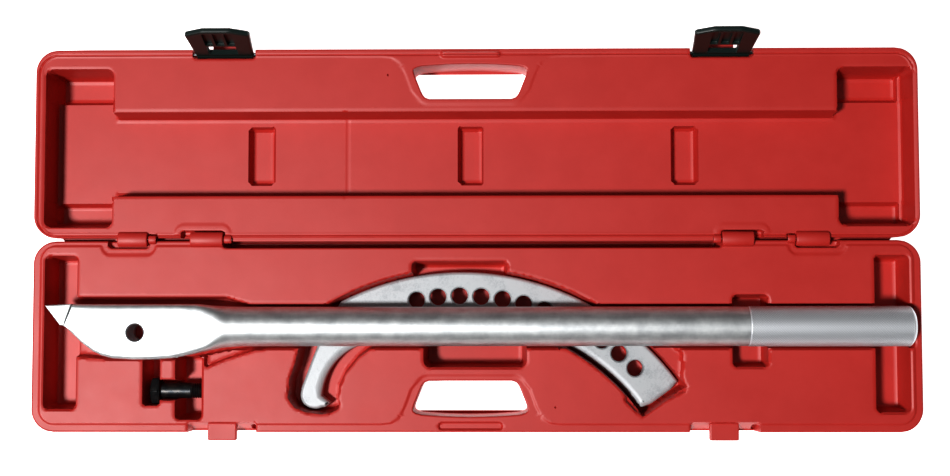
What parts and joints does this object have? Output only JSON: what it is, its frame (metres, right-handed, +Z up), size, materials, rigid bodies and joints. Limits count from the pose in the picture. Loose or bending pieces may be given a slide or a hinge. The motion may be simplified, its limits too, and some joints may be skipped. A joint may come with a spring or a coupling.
{
  "type": "lug wrench",
  "caption": "Lever-and-hook lug wrench stored dismantled in an open fitted case: long bar with knurled grip, curved hook arm with adjustment holes, and pivot bolt.",
  "frame": {"origin": "centre of the base half's underside", "axes": "+X along the case towards the bar's grip, +Y from the base half to the open lid, +Z up"},
  "size_m": [0.776, 0.3537, 0.0823],
  "materials": {
    "case_red": "satin",
    "latch_black": "satin",
    "bar_steel": "satin",
    "arm_steel": "matte",
    "bolt_black": "satin",
    "pin_steel": "satin"
  },
  "bodies": {
    "base": {"case_base": "case_red", "hinge_pin_1": "pin_steel", "hinge_pin_2": "pin_steel", "hinge_pin_3": "pin_steel", "hinge_pin_4": "pin_steel"},
    "lid": {"case_lid": "case_red", "latch_pin_left": "pin_steel", "latch_pin_right": "pin_steel"},
    "left_latch": {"latch_left": "latch_black"},
    "right_latch": {"latch_right": "latch_black"},
    "arm": {"hook_arm": "arm_steel"},
    "lever": {"lever_bar": "bar_steel", "bite_tip": "bar_steel"},
    "bolt": {"pivot_bolt": "bolt_black"}
  },
  "joints": [
    {"name": "lid_hinge", "type": "hinge", "parent": "base", "child": "lid", "pos_m": [0, 0.0846, 0.04225], "axis": [1, 0, 0], "range_deg": [0, 180]},
    {"name": "left_latch_hinge", "type": "hinge", "parent": "lid", "child": "left_latch", "pos_m": [-0.221, 0.2486, 0.0385], "axis": [1, 0, 0], "range_deg": [-105, 0]},
    {"name": "right_latch_hinge", "type": "hinge", "parent": "lid", "child": "right_latch", "pos_m": [0.2165, 0.2486, 0.0385], "axis": [1, 0, 0], "range_deg": [-105, 0]},
    {"name": "hook_lift", "type": "slide", "parent": "base", "child": "arm", "axis": [0, 0, 1], "range_m": [0, 0.1]},
    {"name": "bar_lift", "type": "slide", "parent": "arm", "child": "lever", "axis": [0, 0, 1], "range_m": [0, 0.05]},
    {"name": "bolt_lift", "type": "slide", "parent": "base", "child": "bolt", "axis": [0, 0, 1], "range_m": [0, 0.1]}
  ]
}
